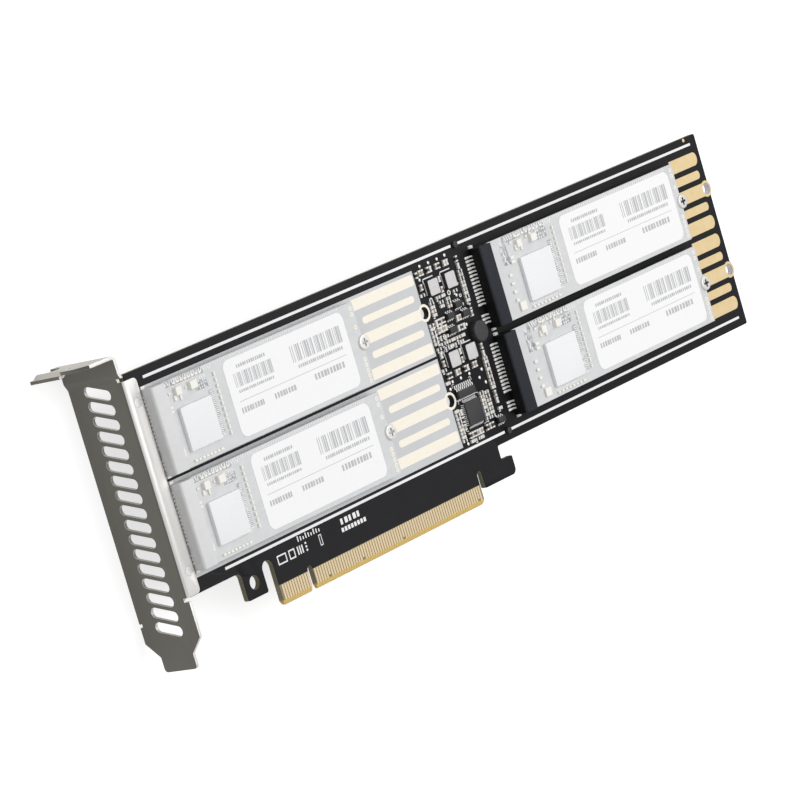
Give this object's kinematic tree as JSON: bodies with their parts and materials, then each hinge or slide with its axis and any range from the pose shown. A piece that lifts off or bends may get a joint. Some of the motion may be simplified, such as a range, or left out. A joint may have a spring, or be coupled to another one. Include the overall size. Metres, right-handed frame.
{
  "type": "nvme adapter card",
  "caption": "Long low adapter card with gold edge fingers and a slotted metal slot bracket, holding solid-state drives flat in sockets with end screws.",
  "frame": {"origin": "centre of the bounding box in X and Y, at its lowest plane, which is the slot bracket's far edge", "axes": "+X runs along the card away from the bracket, +Y from the edge fingers to the top edge, +Z stands on the component side"},
  "size_m": [0.2654, 0.0792, 0.0218],
  "materials": {
    "gold_plating": "polished",
    "screw_steel": "polished",
    "chip_moulding": "matte",
    "tinned_metal": "satin",
    "capacitor_brown": "matte",
    "standoff_brass": "satin",
    "drive_board": "satin",
    "drive_chip": "matte",
    "paper_label": "matte",
    "drive_parts": "matte",
    "white_print": "matte",
    "bare_pads": "satin",
    "pale_housing": "matte",
    "dark_housing": "matte",
    "solder_mask": "satin",
    "inductor_grey": "matte",
    "dark_can": "matte",
    "bracket_steel": "satin"
  },
  "bodies": {
    "root": {"back_contact_fingers": "gold_plating", "bracket_screws": "screw_steel", "buffer_chip": "chip_moulding", "buffer_chip_pins": "tinned_metal", "capacitor_bodies": "capacitor_brown", "capacitor_ends": "tinned_metal", "clock_chip": "chip_moulding", "clock_chip_pins": "tinned_metal", "drive_screws": "screw_steel", "drive_standoffs": "standoff_brass", "front_contact_fingers": "gold_plating", "inductor_feet": "tinned_metal", "line_studs": "chip_moulding", "lower_left_drive_board": "drive_board", "lower_left_drive_controller": "drive_chip", "lower_left_drive_label": "paper_label", "lower_left_drive_small_parts": "drive_parts", "lower_left_field": "white_print", "lower_left_heat_pads": "bare_pads", "lower_left_socket": "pale_housing", "lower_left_socket_pins": "tinned_metal", "lower_right_drive_board": "drive_board", "lower_right_drive_controller": "drive_chip", "lower_right_drive_label": "paper_label", "lower_right_drive_small_parts": "drive_parts", "lower_right_heat_pads": "bare_pads", "lower_right_socket": "dark_housing", "lower_right_socket_pins": "tinned_metal", "main_board": "solder_mask", "plated_hole_rings": "bare_pads", "power_inductors": "inductor_grey", "printed_edge_lines": "white_print", "round_capacitor": "dark_can", "slot_bracket": "bracket_steel", "switch_chip_pins": "tinned_metal", "switch_chips": "chip_moulding", "upper_left_drive_board": "drive_board", "upper_left_drive_controller": "drive_chip", "upper_left_drive_label": "paper_label", "upper_left_drive_small_parts": "drive_parts", "upper_left_field": "white_print", "upper_left_heat_pads": "bare_pads", "upper_left_socket": "pale_housing", "upper_left_socket_pins": "tinned_metal", "upper_right_drive_board": "drive_board", "upper_right_drive_controller": "drive_chip", "upper_right_drive_label": "paper_label", "upper_right_drive_small_parts": "drive_parts", "upper_right_heat_pads": "bare_pads", "upper_right_socket": "dark_housing", "upper_right_socket_pins": "tinned_metal"}
  },
  "joints": []
}
